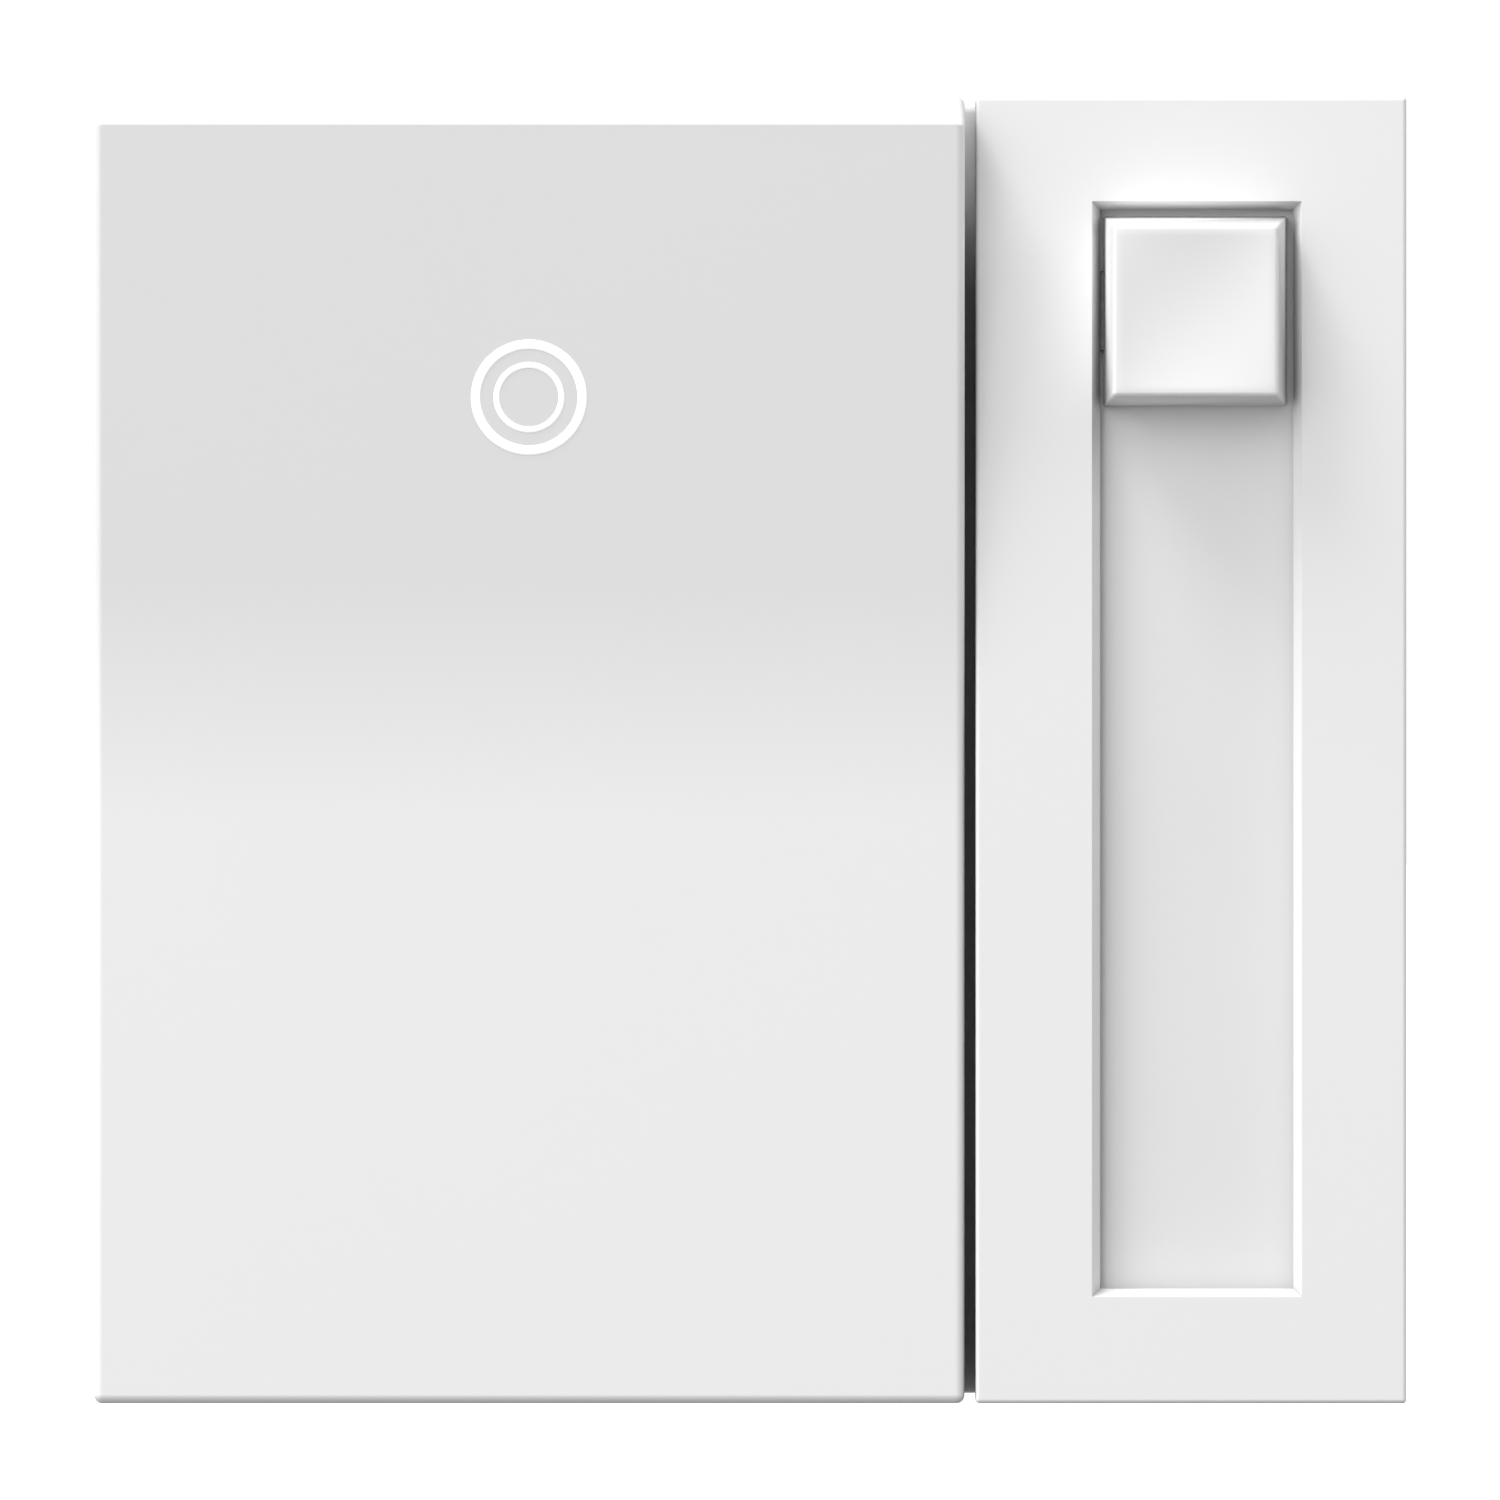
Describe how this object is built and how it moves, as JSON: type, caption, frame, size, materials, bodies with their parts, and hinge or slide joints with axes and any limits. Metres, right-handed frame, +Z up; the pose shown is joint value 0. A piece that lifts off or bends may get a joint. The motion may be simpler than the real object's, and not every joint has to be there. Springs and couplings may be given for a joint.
{
  "type": "dimmer slide switch",
  "caption": "Wall dimmer with a wide wedge-shaped tap paddle beside a narrow column where a square knob slides in a straight recessed slot.",
  "frame": {"origin": "centre of the plane where the mounting plate's seat pads rest on the wall frame, behind the centre of the face", "axes": "+X to the right as seen from the front, +Y from the face into the wall, +Z up"},
  "size_m": [0.0676, 0.0487, 0.0672],
  "materials": {
    "face_white": "satin",
    "indicator_white": "satin",
    "slot_grey": "matte",
    "chassis_white": "matte",
    "clear_plastic": "gloss",
    "steel": "satin",
    "aluminium": "satin",
    "brass": "satin",
    "green_steel": "satin",
    "housing_grey": "matte",
    "black_plastic": "satin",
    "board_green": "satin",
    "track_brown": "matte",
    "label": "satin",
    "silicone_pad": "matte",
    "ferrite": "matte",
    "copper": "satin",
    "capacitor_sleeve": "gloss",
    "film_yellow": "satin",
    "varistor_red": "satin",
    "fuse_ceramic": "satin",
    "resistor_tan": "satin"
  },
  "bodies": {
    "switch_body": {"slider_bezel": "face_white", "slider_floor_strip": "slot_grey", "fader_housing": "steel", "fader_track": "track_brown", "front_chassis": "chassis_white", "paddle_pivot_rod": "steel", "paddle_spring_left": "steel", "paddle_spring_right": "steel", "light_pipe": "clear_plastic", "indicator_led": "indicator_white", "tap_switch_body": "black_plastic", "control_board": "board_green", "control_chip": "black_plastic", "mounting_plate": "aluminium", "latch_spring_upper": "steel", "latch_spring_lower": "steel", "latch_rivet_upper": "aluminium", "latch_rivet_lower": "aluminium", "rear_housing": "housing_grey", "rating_label": "label", "housing_screw_upper_left": "steel", "housing_screw_upper_right": "steel", "housing_screw_lower_left": "steel", "housing_screw_lower_right": "steel", "board_link_header": "black_plastic", "power_board": "board_green", "triac": "black_plastic", "triac_insulator": "silicone_pad", "triac_screw": "steel", "choke_core": "ferrite", "choke_winding": "copper", "film_capacitor": "film_yellow", "electrolytic_capacitor": "capacitor_sleeve", "varistor": "varistor_red", "fuse": "fuse_ceramic", "gate_resistor": "resistor_tan", "terminal_clamp_line": "brass", "terminal_clamp_load": "brass", "terminal_clamp_neutral": "brass", "terminal_clamp_ground": "brass", "terminal_screw_line": "brass", "terminal_screw_load": "brass", "terminal_screw_neutral": "brass", "terminal_screw_ground": "green_steel"},
    "paddle": {"tap_paddle": "face_white", "indicator_outer_ring": "indicator_white", "indicator_inner_ring": "indicator_white"},
    "slider": {"slider_knob": "face_white", "slider_arm": "steel", "fader_carriage": "black_plastic", "fader_wiper": "brass"},
    "plunger": {"tap_switch_plunger": "indicator_white"}
  },
  "joints": [
    {"name": "slider_slide", "type": "slide", "parent": "switch_body", "child": "slider", "axis": [0, 0, -1], "range_m": [0, 0.045]},
    {"name": "paddle_press", "type": "hinge", "parent": "switch_body", "child": "paddle", "pos_m": [-0.01136, -0.0086, -0.0292], "axis": [-1, 0, 0], "range_deg": [0, 1.6], "stiffness_Nm_per_rad": 1.5, "springref_deg": -1.72, "deforming": ["paddle_spring_left", "paddle_spring_right"]},
    {"name": "plunger_press", "type": "slide", "parent": "switch_body", "child": "plunger", "axis": [0, 1, 0], "range_m": [0, 0.00095]}
  ],
  "couplings": [
    {"joint": "plunger_press", "follows": "paddle_press", "m_per_rad": 0.0332}
  ]
}
